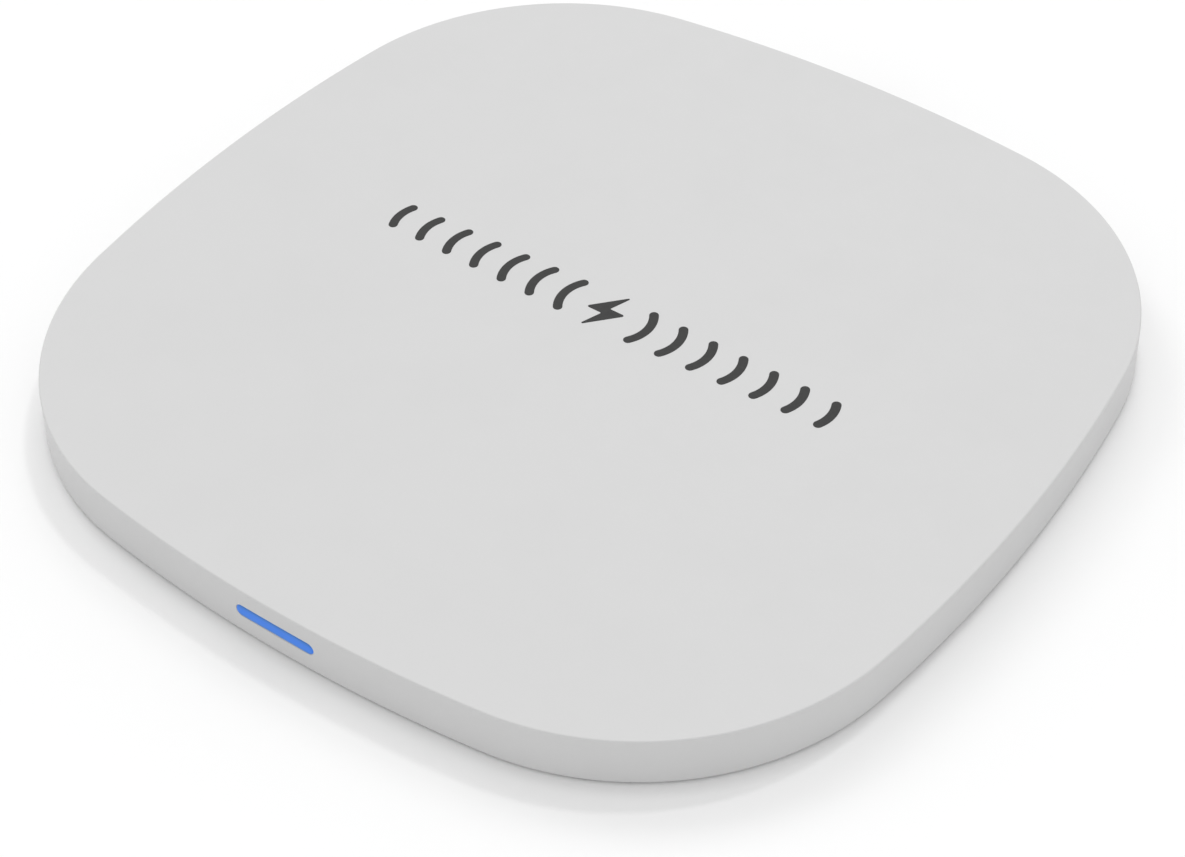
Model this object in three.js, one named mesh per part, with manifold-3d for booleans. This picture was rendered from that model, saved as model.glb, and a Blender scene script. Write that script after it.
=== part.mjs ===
// Wireless charging pad: a slim bowed-square puck that charges a phone laid on its top.
//
// Millimetres, +Z up. The origin is on the surface that the pad stands on, under its centre.
// The status bar faces -Y and the USB-C inlet faces +Y. The case is a top shell, which is
// the top face and the whole side wall in one moulding, closed from below by a flat cover.
// The coil is stuck to the underside of the top face, inside a hole in the circuit board.

import * as THREE from 'three';
import { mergeVertices } from 'three/addons/utils/BufferGeometryUtils.js';
import Module from 'manifold-3d';

// ---------------------------------------------------------------- driving dimensions

const topHalfWidth = 50; // centre to the middle of a side, along the top edge
const sideBowRadius = 170; // each side is a shallow arc
const cornerRadius = 30;
const wallHeight = 5.35; // top face to the lower edge of the side wall
const wallFlare = 0.2; // how far the wall leans out by its lower edge
const topEdgeBevel = 0.2;
const topEdgeProud = 0.04; // how far the bevel's lower edge is outside the top outline
const underChamferHeight = 0.1; // the wall turns in under its lower edge
const underChamferWidth = 0.3;
const topThickness = 0.9;
const wallThickness = 1.6; // at the top; the flare adds to it lower down
const coverThickness = 0.7;
const coverGap = 0.15; // round the edge of the bottom cover

const footRadius = 5;
const footProud = 0.25; // how far a foot stands below the cover
const footRecess = 0.25; // how deep it sits in the cover
const footReach = 34.5; // x and y of a foot and of the case screw above it

const bossRadius = 2.6;
const bossBottom = 2.0; // where the shell's bosses meet the cover's raised pads
const pilotRadius = 0.85; // holes for the case screws' threads
const coverPadRadius = 4; // raised pads of the cover, under the bosses
const coverClamp = 0.65; // cover between a case screw's head and the boss
const screwPocketRadius = 2;
const boardPostRadius = 2.2;
const boardPilotRadius = 0.75;
const boardPostPlaces = [[-38, -14], [38, -14], [-14, 38.5], [14, 38.5]];

const lightBarLength = 9.4;
const lightBarHeight = 1.4;
const lightBarDrop = 2.65; // top face to the middle of the bar
const slideGap = 0.05; // round the light guide in its slot

const coilInnerRadius = 10.25;
const coilOuterRadius = 22;
const coilThickness = 1.2;
const tapeThickness = 0.1;
const ferriteRadius = 25;
const ferriteHoleRadius = 9.9;
const ferriteThickness = 0.8;
const ferriteSlotWidth = 3.4; // lets the inner ends out to the board
const foamRadius = 19;
const leadRadius = 0.36;
const thermistorRadius = 0.9;
const thermistorWireRadius = 0.2;
const leadAngle = 50; // degrees from +X to the ferrite's slot

const boardInset = 4; // behind the top outline
const boardBottom = 1.9;
const boardThickness = 0.8;
const boardHoleRadius = 28;
const boardScallopRadius = 4.2; // round the case bosses

const inletWidth = 8.94; // outside of the USB-C shell
const inletHeight = 3.16;
const inletLength = 7.35;
const inletShellThickness = 0.3;
const inletRecess = 0.3; // mouth to the outside of the back wall
const inletCentreZ = 3.03;
const inletSlotGap = 0.15;

const sideSteps = 6; // facets of one side arc
const cornerSteps = 12; // facets of one corner arc
const roundSides = 20; // facets of a boss, pad or screw head
const holeSides = 12; // facets of a small hole or shank
const wireSides = 6;

// ---------------------------------------------------------------- derived values

const caseBottom = footProud;
const wallBottom = caseBottom + underChamferHeight;
const height = wallBottom + wallHeight;
const topInside = height - topThickness;
const coverTop = caseBottom + coverThickness;
const footTop = caseBottom + footRecess;
const boardTop = boardBottom + boardThickness;
const coilTop = topInside - tapeThickness;
const coilBottom = coilTop - coilThickness;
const ferriteTop = coilBottom - tapeThickness;
const ferriteBottom = ferriteTop - ferriteThickness;
const lightBarZ = height - lightBarDrop;
const pilotTop = topInside - 0.4;
const screwPocketTop = bossBottom - coverClamp;

// A foot and a case screw sit in each corner: its name, and the sides of X and Y that it is on.
const corners = [
  { label: 'front_left', sideX: -1, sideY: -1 },
  { label: 'front_right', sideX: 1, sideY: -1 },
  { label: 'back_left', sideX: -1, sideY: 1 },
  { label: 'back_right', sideX: 1, sideY: 1 },
];
const cornerPlaces = corners.map(({ sideX, sideY }) => [sideX * footReach, sideY * footReach]);

// The side arcs' centres lie on the axes and the corner arcs' centres on the diagonals,
// placed so that neighbouring arcs are tangent.
const bowCentre = topHalfWidth - sideBowRadius;
const centreDistance = sideBowRadius - cornerRadius;
const cornerCentre = (bowCentre + Math.sqrt(2 * centreDistance ** 2 - bowCentre ** 2)) / 2;
const sideHalfAngle = Math.atan2(cornerCentre, cornerCentre - bowCentre);

// ---------------------------------------------------------------- solids from geometries

const wasm = await Module();
wasm.setup();

function toSolid(geometry) {
  const bare = geometry.clone();
  bare.deleteAttribute('normal');
  bare.deleteAttribute('uv');
  const merged = mergeVertices(bare, 1e-5);
  const vertProperties = Float32Array.from(merged.attributes.position.array);
  const triVerts = Uint32Array.from(merged.index.array);
  return new wasm.Manifold(new wasm.Mesh({ numProp: 3, vertProperties, triVerts }));
}

function toGeometry(solid) {
  const { vertProperties, triVerts } = solid.getMesh();
  const geometry = new THREE.BufferGeometry();
  geometry.setAttribute('position', new THREE.BufferAttribute(vertProperties, 3));
  geometry.setIndex(new THREE.BufferAttribute(triVerts, 1));
  return geometry;
}

function join(geometries) {
  return toGeometry(geometries.map(toSolid).reduce((whole, piece) => whole.add(piece)));
}

function cut(geometry, tools) {
  return toGeometry(tools.map(toSolid).reduce((rest, tool) => rest.subtract(tool), toSolid(geometry)));
}

function common(first, second) {
  return toGeometry(toSolid(first).intersect(toSolid(second)));
}

// ---------------------------------------------------------------- outlines and plain shapes

// Points of the pad's outline moved outwards by `offset`, anticlockwise from the +X side.
function outline(offset) {
  const points = [];
  const addArc = (centreX, centreY, radius, from, to, steps, turn) => {
    for (let step = 0; step < steps; step += 1) {
      const angle = from + ((to - from) * step) / steps;
      const point = new THREE.Vector2(centreX + radius * Math.cos(angle), centreY + radius * Math.sin(angle));
      points.push(point.rotateAround(new THREE.Vector2(), turn));
    }
  };
  for (let quarter = 0; quarter < 4; quarter += 1) {
    const turn = (quarter * Math.PI) / 2;
    const cornerEnd = Math.PI / 2 - sideHalfAngle;
    addArc(bowCentre, 0, sideBowRadius + offset, -sideHalfAngle, sideHalfAngle, sideSteps, turn);
    addArc(cornerCentre, cornerCentre, cornerRadius + offset, sideHalfAngle, cornerEnd, cornerSteps, turn);
  }
  return points;
}

// A closed solid through copies of the outline at rising heights: [[offset, z], ...].
function loft(sections) {
  const rings = sections.map(([offset, z]) => outline(offset).map((point) => [point.x, point.y, z]));
  const count = rings[0].length;
  const indices = [];
  for (let level = 0; level + 1 < rings.length; level += 1) {
    for (let index = 0; index < count; index += 1) {
      const a = level * count + index;
      const b = level * count + ((index + 1) % count);
      indices.push(a, b, b + count, a, b + count, a + count);
    }
  }
  const lastRing = (rings.length - 1) * count;
  for (const [a, b, c] of THREE.ShapeUtils.triangulateShape(outline(sections[0][0]), [])) {
    indices.push(c, b, a);
    indices.push(lastRing + a, lastRing + b, lastRing + c);
  }
  const geometry = new THREE.BufferGeometry();
  geometry.setAttribute('position', new THREE.Float32BufferAttribute(rings.flat(2), 3));
  geometry.setIndex(indices);
  return geometry;
}

function disc(radius, bottom, top, [x, y] = [0, 0], sides = roundSides) {
  const geometry = new THREE.CylinderGeometry(radius, radius, top - bottom, sides);
  geometry.rotateX(Math.PI / 2);
  geometry.translate(x, y, (bottom + top) / 2);
  return geometry;
}

function block(width, depth, bottom, top, [x, y] = [0, 0]) {
  const geometry = new THREE.BoxGeometry(width, depth, top - bottom);
  geometry.translate(x, y, (bottom + top) / 2);
  return geometry;
}

// A flat ring with a rectangular section, turned about the Z axis.
function ring(innerRadius, outerRadius, bottom, top, sides = 40) {
  const corners = [[innerRadius, bottom], [outerRadius, bottom], [outerRadius, top], [innerRadius, top]];
  const profile = [...corners, corners[0]].map(([radius, z]) => new THREE.Vector2(radius, z));
  const geometry = new THREE.LatheGeometry(profile, sides);
  geometry.rotateX(Math.PI / 2);
  return geometry;
}

// A bar with round ends, seen from the front or back of the pad.
function pill(width, barHeight) {
  const radius = barHeight / 2;
  const reach = width / 2 - radius;
  const shape = new THREE.Shape();
  shape.absarc(reach, 0, radius, -Math.PI / 2, Math.PI / 2);
  shape.absarc(-reach, 0, radius, Math.PI / 2, (3 * Math.PI) / 2);
  shape.closePath();
  return shape;
}

// A shape drawn in X and Z, extruded from one Y to another.
function extrudeAlongY(shape, fromY, toY, centreZ) {
  const geometry = new THREE.ExtrudeGeometry(shape, {
    depth: toY - fromY,
    bevelEnabled: false,
    curveSegments: 5,
  });
  geometry.rotateX(Math.PI / 2);
  geometry.translate(0, toY, centreZ);
  return geometry;
}

// ---------------------------------------------------------------- case

function caseBody() {
  return loft([
    [wallFlare - underChamferWidth, caseBottom],
    [wallFlare, wallBottom],
    [topEdgeProud, height - topEdgeBevel],
    [topEdgeProud - topEdgeBevel, height],
  ]);
}

function coilFence() {
  const fence = ring(coilOuterRadius + 0.4, coilOuterRadius + 1.2, topInside - 0.9, topInside + 0.2);
  const window = block(8, 7, topInside - 2, topInside, [coilOuterRadius, 7.5]);
  window.rotateZ(THREE.MathUtils.degToRad(leadAngle));
  return cut(fence, [window]);
}

function topShell() {
  const cavity = loft([[-wallThickness, caseBottom - 1], [-wallThickness, topInside]]);
  const bosses = cornerPlaces.map((place) => disc(bossRadius, bossBottom, topInside + 0.2, place));
  const posts = boardPostPlaces.map((place) => disc(boardPostRadius, boardTop, topInside + 0.2, place));
  const pilots = cornerPlaces.map((place) => disc(pilotRadius, bossBottom - 1, pilotTop, place, holeSides));
  const boardPilots = boardPostPlaces.map((place) =>
    disc(boardPilotRadius, boardTop - 1, pilotTop, place, holeSides));
  const lightSlot = extrudeAlongY(
    pill(lightBarLength + 2 * slideGap, lightBarHeight + 2 * slideGap),
    -topHalfWidth - 3,
    -topHalfWidth + 4,
    lightBarZ,
  );
  const inletSlot = extrudeAlongY(
    pill(inletWidth + 2 * inletSlotGap, inletHeight + 2 * inletSlotGap),
    topHalfWidth - 4,
    topHalfWidth + 3,
    inletCentreZ,
  );
  const hollowCase = cut(caseBody(), [cavity]);
  const fitted = join([hollowCase, ...bosses, ...posts, coilFence()]);
  return cut(fitted, [...pilots, ...boardPilots, lightSlot, inletSlot]);
}

function bottomCover() {
  const edge = -wallThickness - coverGap;
  const plate = loft([[edge, caseBottom], [edge, coverTop]]);
  const pads = cornerPlaces.map((place) => disc(coverPadRadius, coverTop - 0.2, bossBottom, place));
  const recesses = cornerPlaces.map((place) => disc(footRadius + 0.1, caseBottom - 1, footTop, place, 28));
  const pockets = cornerPlaces.map((place) => disc(screwPocketRadius, caseBottom, screwPocketTop, place));
  const holes = cornerPlaces.map((place) => disc(1, caseBottom, bossBottom + 1, place, holeSides));
  return cut(join([plate, ...pads]), [...recesses, ...pockets, ...holes]);
}

function foot() {
  const profile = [[0, 0], [footRadius - 0.2, 0], [footRadius, 0.2], [footRadius, footTop], [0, footTop]];
  const geometry = new THREE.LatheGeometry(profile.map(([radius, z]) => new THREE.Vector2(radius, z)), 28);
  geometry.rotateX(Math.PI / 2);
  return geometry;
}

// A cross-head screw with its head down. z = 0 is the seat of the head.
function screw(headRadius, headHeight, shankRadius, shankLength) {
  const body = join([
    disc(headRadius, -headHeight, 0),
    disc(shankRadius, -headHeight / 2, shankLength, [0, 0], holeSides),
  ]);
  const slotLength = headRadius * 1.1;
  const slotWidth = headRadius * 0.24;
  const slotTop = -headHeight * 0.35;
  return cut(body, [
    block(slotLength, slotWidth, -headHeight - 1, slotTop),
    block(slotWidth, slotLength, -headHeight - 1, slotTop),
  ]);
}

// The clear bar: flush with the outside of the wall, with a flange behind the wall and a
// stem that takes in the light of the LEDs.
function lightGuide() {
  const face = extrudeAlongY(pill(lightBarLength, lightBarHeight), -topHalfWidth - 3, -48, lightBarZ);
  const flange = extrudeAlongY(pill(11, 2.6), -48.2, -47.5, lightBarZ);
  const stem = extrudeAlongY(pill(8.4, 1.1), -47.6, -46.4, lightBarZ);
  return join([common(face, caseBody()), flange, stem]);
}

// ---------------------------------------------------------------- coil stack

// Places in the coil stack are stated along the ferrite's slot, across it, and in height.
function alongSlot(points) {
  const axis = new THREE.Vector3(0, 0, 1);
  const angle = THREE.MathUtils.degToRad(leadAngle);
  return points.map(([along, across, z]) => new THREE.Vector3(along, across, z).applyAxisAngle(axis, angle));
}

function wire(points, radius, steps) {
  const section = new THREE.Shape().absarc(0, 0, radius, 0, 2 * Math.PI);
  return new THREE.ExtrudeGeometry(section, {
    extrudePath: new THREE.CatmullRomCurve3(alongSlot(points)),
    steps,
    curveSegments: wireSides / 2,
    bevelEnabled: false,
  });
}

function ferriteSheet() {
  const sheet = ring(ferriteHoleRadius, ferriteRadius, ferriteBottom, ferriteTop);
  const slot = block(20, ferriteSlotWidth, ferriteBottom - 1, ferriteTop + 1, [18, 0]);
  slot.rotateZ(THREE.MathUtils.degToRad(leadAngle));
  return cut(sheet, [slot]);
}

const slotZ = ferriteBottom + 0.4; // the wires lie in the thickness of the ferrite
const leadEndZ = boardTop + 0.5;
const leadEnd = boardHoleRadius + 3;

function innerLead() {
  return wire([
    [6.9, -6.2, coilBottom + 0.5],
    [8.4, -3.9, coilBottom + 0.3],
    [9.0, -1.9, ferriteTop - 0.1],
    [9.6, -0.95, slotZ],
    [13, -0.9, slotZ],
    [18, -0.9, slotZ],
    [24, -0.9, slotZ],
    [26.5, -0.9, slotZ + 0.15],
    [28.5, -0.9, leadEndZ],
    [leadEnd, -0.9, leadEndZ],
  ], leadRadius, 26);
}

function outerLead() {
  return wire([
    [20.6, 9.6, coilBottom + 0.55],
    [22.6, 7.8, coilBottom + 0.5],
    [24.4, 6.7, coilBottom + 0.4],
    [26.3, 6.3, coilBottom + 0.15],
    [28.5, 6.2, leadEndZ],
    [leadEnd, 6.2, leadEndZ],
  ], leadRadius, 14);
}

function thermistorBead() {
  const geometry = new THREE.SphereGeometry(thermistorRadius, 12, 8);
  geometry.rotateX(Math.PI / 2);
  return geometry;
}

function thermistorWire(across) {
  const endZ = boardTop + 0.25;
  return wire([
    [1.3, across * 0.5, topInside - 1.1],
    [4, across * 0.8, topInside - 1.5],
    [8.5, across, slotZ],
    [13, across, slotZ],
    [24, across, slotZ],
    [28.5, across, endZ],
    [leadEnd - 0.5, across, endZ],
  ], thermistorWireRadius, 20);
}

// ---------------------------------------------------------------- electronics

function circuitBoard() {
  const shape = new THREE.Shape(outline(-boardInset));
  shape.holes.push(new THREE.Path().absarc(0, 0, boardHoleRadius, 0, 2 * Math.PI));
  const board = new THREE.ExtrudeGeometry(shape, {
    depth: boardThickness,
    bevelEnabled: false,
    curveSegments: 20,
  });
  board.translate(0, 0, boardBottom);
  const scallops = cornerPlaces.map((place) => disc(boardScallopRadius, 0, height, place));
  const holes = boardPostPlaces.map((place) => disc(0.9, 0, height, place, holeSides));
  const notch = block(inletWidth + 0.4, 8, 0, height, [0, inletRearY + 3.8]);
  return cut(board, [...scallops, ...holes, notch]);
}

const backWallY = topHalfWidth + (wallFlare * (height - inletCentreZ)) / wallHeight;
const inletMouthY = backWallY - inletRecess;
const inletRearY = inletMouthY - inletLength;

function usbShell() {
  const shape = pill(inletWidth, inletHeight);
  const bore = pill(inletWidth - 2 * inletShellThickness, inletHeight - 2 * inletShellThickness);
  shape.holes.push(new THREE.Path(bore.getPoints(5).reverse()));
  return extrudeAlongY(shape, inletRearY, inletMouthY, inletCentreZ);
}

function usbTongue() {
  const fit = 2 * (inletShellThickness + slideGap);
  const baseShape = pill(inletWidth - fit, inletHeight - fit);
  const base = extrudeAlongY(baseShape, inletRearY + 0.1, inletRearY + 2, inletCentreZ);
  const tongueLength = inletLength - 2.5;
  const tongue = block(6.69, tongueLength, inletCentreZ - 0.35, inletCentreZ + 0.35, [
    0,
    inletRearY + 1.7 + tongueLength / 2,
  ]);
  return join([base, tongue]);
}

// A chip part: a body between two end caps that stand slightly proud of it.
function chipPart(length, width, partHeight) {
  const capLength = length * 0.16;
  const proud = 0.05;
  const body = block(length - capLength, width - 2 * proud, proud, partHeight - proud);
  const caps = [-1, 1].map((side) =>
    block(capLength, width, 0, partHeight, [(side * (length - capLength)) / 2, 0]));
  return join([body, ...caps]);
}

// An integrated circuit with a bevelled pin 1 corner.
function chip(length, width, partHeight) {
  const bevel = 0.12 * length;
  const corners = [
    [-length / 2, -width / 2],
    [length / 2, -width / 2],
    [length / 2, width / 2],
    [-length / 2 + bevel, width / 2],
    [-length / 2, width / 2 - bevel],
  ];
  const shape = new THREE.Shape(corners.map(([x, y]) => new THREE.Vector2(x, y)));
  return new THREE.ExtrudeGeometry(shape, { depth: partHeight, bevelEnabled: false });
}

function inductor(side, partHeight) {
  const flange = block(side, side, 0, partHeight * 0.25);
  const core = disc(side * 0.42, 0.1, partHeight - 0.1);
  const cap = block(side, side, partHeight * 0.75, partHeight);
  return join([flange, core, cap]);
}

// ---------------------------------------------------------------- scene

function finish(color, roughness, metalness = 0) {
  return new THREE.MeshStandardMaterial({ color, roughness, metalness });
}

const whitePlastic = finish('#e4e4e3', 0.55);
const clearBlue = finish('#4b87e8', 0.3);
const greyRubber = finish('#8d8f92', 0.9);
const steel = finish('#b9bcc0', 0.35, 1);
const copper = finish('#b8663a', 0.4, 0.9);
const clearTape = finish('#e8dfb8', 0.6);
const ferrite = finish('#3b3d40', 0.8);
const greyFoam = finish('#55585c', 0.95);
const boardGreen = finish('#1f5c3c', 0.5);
const blackPlastic = finish('#1b1c1e', 0.6);
const ceramic = finish('#b08a62', 0.5);
const ledWhite = finish('#f2f0dc', 0.4);
const glassBead = finish('#2b2f33', 0.3);

function piece(name, geometry, material, [x, y, z] = [0, 0, 0], turnDegrees = 0) {
  const mesh = new THREE.Mesh(geometry, material);
  mesh.name = name;
  mesh.position.set(x, y, z);
  mesh.rotation.z = THREE.MathUtils.degToRad(turnDegrees);
  return mesh;
}

function caseGroup() {
  const group = new THREE.Group();
  group.add(piece('top_shell', topShell(), whitePlastic));
  group.add(piece('bottom_cover', bottomCover(), whitePlastic));
  group.add(piece('light_guide', lightGuide(), clearBlue));
  corners.forEach(({ label }, index) => {
    const [x, y] = cornerPlaces[index];
    group.add(piece(`foot_${label}`, foot(), greyRubber, [x, y, 0]));
    group.add(piece(`case_screw_${label}`, screw(1.75, 0.4, 0.8, 2.75), steel, [x, y, screwPocketTop]));
  });
  return group;
}

function coilGroup() {
  const group = new THREE.Group();
  const [inner, outer] = [coilInnerRadius, coilOuterRadius];
  group.add(piece('coil_tape', ring(inner, outer, coilTop, topInside), clearTape));
  group.add(piece('coil_winding', ring(inner, outer, coilBottom, coilTop), copper));
  group.add(piece('ferrite_tape', ring(inner, outer, ferriteTop, coilBottom), clearTape));
  group.add(piece('ferrite_sheet', ferriteSheet(), ferrite));
  group.add(piece('foam_pad', disc(foamRadius, coverTop, ferriteBottom, [0, 0], 40), greyFoam));
  group.add(piece('coil_lead_inner', innerLead(), copper));
  group.add(piece('coil_lead_outer', outerLead(), copper));
  group.add(piece('thermistor', thermistorBead(), glassBead, [0, 0, topInside - thermistorRadius - 0.05]));
  group.add(piece('thermistor_wire_1', thermistorWire(0.5), blackPlastic));
  group.add(piece('thermistor_wire_2', thermistorWire(1.15), blackPlastic));
  return group;
}

function electronicsGroup() {
  const group = new THREE.Group();
  const onBoard = (name, geometry, material, x, y, turnDegrees = 0) =>
    group.add(piece(name, geometry, material, [x, y, boardTop], turnDegrees));

  group.add(piece('circuit_board', circuitBoard(), boardGreen));
  boardPostPlaces.forEach(([x, y], index) => {
    group.add(piece(`board_screw_${index + 1}`, screw(1.5, 0.4, 0.7, 2.3), steel, [x, y, boardBottom]));
  });
  group.add(piece('usb_shell', usbShell(), steel));
  group.add(piece('usb_tongue', usbTongue(), blackPlastic));

  onBoard('power_input_ic', chip(4, 4, 0.8), blackPlastic, 0, 35);
  onBoard('controller_ic', chip(5, 5, 0.85), blackPlastic, -36, 12);
  onBoard('crystal', chip(3.2, 2.5, 0.7), steel, -36, 6);
  onBoard('filter_inductor', inductor(4.2, 1.8), ferrite, -26, 36.5);
  onBoard('sense_resistor', chipPart(6.3, 3.2, 0.6), blackPlastic, 37, -3, 90);
  for (let index = 0; index < 3; index += 1) {
    onBoard(`input_capacitor_${index + 1}`, chipPart(3.2, 1.6, 1.6), ceramic, -20, 36 + 2.5 * index);
  }
  for (let index = 0; index < 4; index += 1) {
    const x = 20 + 4.5 * (index % 2);
    const y = 34.5 + 4.5 * Math.floor(index / 2);
    onBoard(`bridge_transistor_${index + 1}`, chip(3.3, 3.3, 0.9), blackPlastic, x, y);
    onBoard(`resonant_capacitor_${index + 1}`, chipPart(3.2, 2.5, 1.7), ceramic, 36.5, 6 + 3.5 * index);
  }
  for (const [side, label] of [[-1, 'left'], [1, 'right']]) {
    onBoard(`status_led_${label}`, chipPart(2, 1.2, 1.1), ledWhite, side * 2.4, -45.1);
    onBoard(`led_resistor_${label}`, chipPart(1.6, 0.8, 0.5), blackPlastic, side * 6, -42);
  }
  return group;
}

const pad = new THREE.Group();
pad.add(caseGroup(), coilGroup(), electronicsGroup());

export default pad;
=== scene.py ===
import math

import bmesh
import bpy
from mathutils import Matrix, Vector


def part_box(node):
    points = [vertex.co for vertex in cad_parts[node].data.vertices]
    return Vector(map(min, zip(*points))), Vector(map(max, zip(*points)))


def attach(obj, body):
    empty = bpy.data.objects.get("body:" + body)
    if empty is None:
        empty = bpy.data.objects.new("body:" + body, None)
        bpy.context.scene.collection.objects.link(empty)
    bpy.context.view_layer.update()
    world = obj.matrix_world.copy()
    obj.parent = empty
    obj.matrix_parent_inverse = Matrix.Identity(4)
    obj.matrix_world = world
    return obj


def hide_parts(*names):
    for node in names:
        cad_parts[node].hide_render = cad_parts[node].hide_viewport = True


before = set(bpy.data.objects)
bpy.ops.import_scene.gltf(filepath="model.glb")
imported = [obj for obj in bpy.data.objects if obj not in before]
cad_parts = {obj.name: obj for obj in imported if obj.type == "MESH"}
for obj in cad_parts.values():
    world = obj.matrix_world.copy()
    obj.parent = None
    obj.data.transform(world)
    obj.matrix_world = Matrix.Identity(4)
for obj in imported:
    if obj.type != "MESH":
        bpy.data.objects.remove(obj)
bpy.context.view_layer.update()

# Looks for the wireless charging pad, built around its CAD frame. Metres, +Z up, status
# bar towards -Y, USB-C inlet towards +Y. Each visible case part is made again here as a
# fine mesh in the place of its CAD node, and the hidden parts inside keep their CAD shape
# or get a finer one.

MM = 0.001

# ---------------------------------------------------------------- sizes

SIDE_BOW_RADIUS = 170 * MM
CORNER_RADIUS = 30 * MM
WALL_FLARE = 0.2 * MM
WALL_THICKNESS = 1.6 * MM
TOP_THICKNESS = 0.9 * MM
TOP_EDGE_OFFSET = 0.035 * MM  # where the wall's line meets the top face's plane
UNDER_CHAMFER = (0.3 * MM, 0.1 * MM)
COVER_GAP = 0.15 * MM

SHELL_LOW, SHELL_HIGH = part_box("top_shell")
TOP = SHELL_HIGH.z
CASE_BOTTOM = SHELL_LOW.z
WALL_BOTTOM = CASE_BOTTOM + UNDER_CHAMFER[1]
TOP_INSIDE = TOP - TOP_THICKNESS
HALF_TOP = SHELL_HIGH.x - WALL_FLARE
WALL_LEAN = math.atan2(WALL_FLARE - TOP_EDGE_OFFSET, TOP - WALL_BOTTOM)

SIDE_STEPS = 22
CORNER_STEPS = 40
FILLET_STEPS = 6


def centre_of(node):
    low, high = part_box(node)
    return (low + high) / 2


# ---------------------------------------------------------------- outlines


def outline(offset):
    """Points of the pad's outline moved outwards by offset, anticlockwise from the +X side."""
    bow_centre = HALF_TOP - SIDE_BOW_RADIUS
    distance = SIDE_BOW_RADIUS - CORNER_RADIUS
    corner = (bow_centre + math.sqrt(2 * distance**2 - bow_centre**2)) / 2
    half_angle = math.atan2(corner, corner - bow_centre)
    arcs = [
        (bow_centre, 0.0, SIDE_BOW_RADIUS + offset, -half_angle, half_angle, SIDE_STEPS),
        (corner, corner, CORNER_RADIUS + offset, half_angle, math.pi / 2 - half_angle, CORNER_STEPS),
    ]
    points = []
    for quarter in range(4):
        turn = Matrix.Rotation(quarter * math.pi / 2, 2)
        for centre_x, centre_y, radius, start, end, steps in arcs:
            for step in range(steps):
                angle = start + (end - start) * step / steps
                x = centre_x + radius * math.cos(angle)
                y = centre_y + radius * math.sin(angle)
                points.append(turn @ Vector((x, y)))
    return points


def pill(length, height, growth=0.0, steps=16):
    """Points of a bar with round ends, grown by growth all round, anticlockwise."""
    radius = height / 2 + growth
    reach = (length - height) / 2
    points = []
    for side, start in ((1, -math.pi / 2), (-1, math.pi / 2)):
        for step in range(steps + 1):
            angle = start + math.pi * step / steps
            points.append(Vector((side * reach + radius * math.cos(angle), radius * math.sin(angle))))
    return points


def circle(radius, steps=48):
    angles = [2 * math.pi * step / steps for step in range(steps)]
    return [Vector((radius * math.cos(angle), radius * math.sin(angle))) for angle in angles]


def rounded(corners, steps=FILLET_STEPS, closed=False):
    """A line through corners (x, y, radius), with each corner turned into an arc of its radius."""
    count = len(corners)
    points = []
    for index, (x, y, radius) in enumerate(corners):
        here = Vector((x, y))
        if radius == 0 or (not closed and index in (0, count - 1)):
            points.append(here)
            continue
        before = Vector(corners[index - 1][:2])
        after = Vector(corners[(index + 1) % count][:2])
        back, ahead = (before - here).normalized(), (after - here).normalized()
        half = back.angle(ahead) / 2
        centre = here + (back + ahead).normalized() * radius / math.sin(half)
        first = here + back * radius / math.tan(half) - centre
        last = here + ahead * radius / math.tan(half) - centre
        sweep = first.angle_signed(last)
        for step in range(steps + 1):
            points.append(centre + Matrix.Rotation(-sweep * step / steps, 2) @ first)
    return points


# ---------------------------------------------------------------- meshes


def new_piece(name, mesh, material, replaces=()):
    """A piece of the pad, in the place of the CAD nodes that it replaces."""
    piece = bpy.data.objects.new(name, mesh)
    bpy.context.scene.collection.objects.link(piece)
    piece.data.materials.append(material)
    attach(piece, "root")
    if replaces:
        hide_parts(*replaces)
    return piece


def mesh_from(vertices, faces):
    mesh = bpy.data.meshes.new("mesh")
    mesh.from_pydata([tuple(vertex) for vertex in vertices], [], faces)
    return mesh


def skin(rings, closed=False):
    """A solid through rings of points, all of one length, capped unless it closes on itself."""
    count = len(rings[0])
    faces = []
    spans = len(rings) if closed else len(rings) - 1
    for level in range(spans):
        low, high = level * count, ((level + 1) % len(rings)) * count
        for index in range(count):
            after = (index + 1) % count
            faces.append((low + index, low + after, high + after, high + index))
    if not closed:
        faces.append(tuple(reversed(range(count))))
        faces.append(tuple((len(rings) - 1) * count + index for index in range(count)))
    return mesh_from([point for ring in rings for point in ring], faces)


def case_loft(profile):
    """A solid through the pad's outline at each (offset, z) of the profile, from low to high."""
    return skin([[(p.x, p.y, z) for p in outline(offset)] for offset, z in profile])


def stack(shape, profile, matrix=None, closed=False):
    """A solid through shape(growth) at each (growth, height) of the profile, along its own Z."""
    matrix = matrix or Matrix.Identity(4)
    rings = [[matrix @ Vector((p.x, p.y, height)) for p in shape(growth)] for growth, height in profile]
    return skin(rings, closed)


def turned(profile, place, steps=64):
    """A solid of revolution about a vertical axis through place, from (radius, z) points."""
    matrix = Matrix.Translation((place[0], place[1], 0))
    return stack(lambda radius: circle(radius, steps), profile, matrix)


def merged(meshes):
    """Several meshes as one, without joining their surfaces."""
    build = bmesh.new()
    for mesh in meshes:
        build.from_mesh(mesh)
    whole = bpy.data.meshes.new("mesh")
    build.to_mesh(whole)
    build.free()
    return whole


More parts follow.
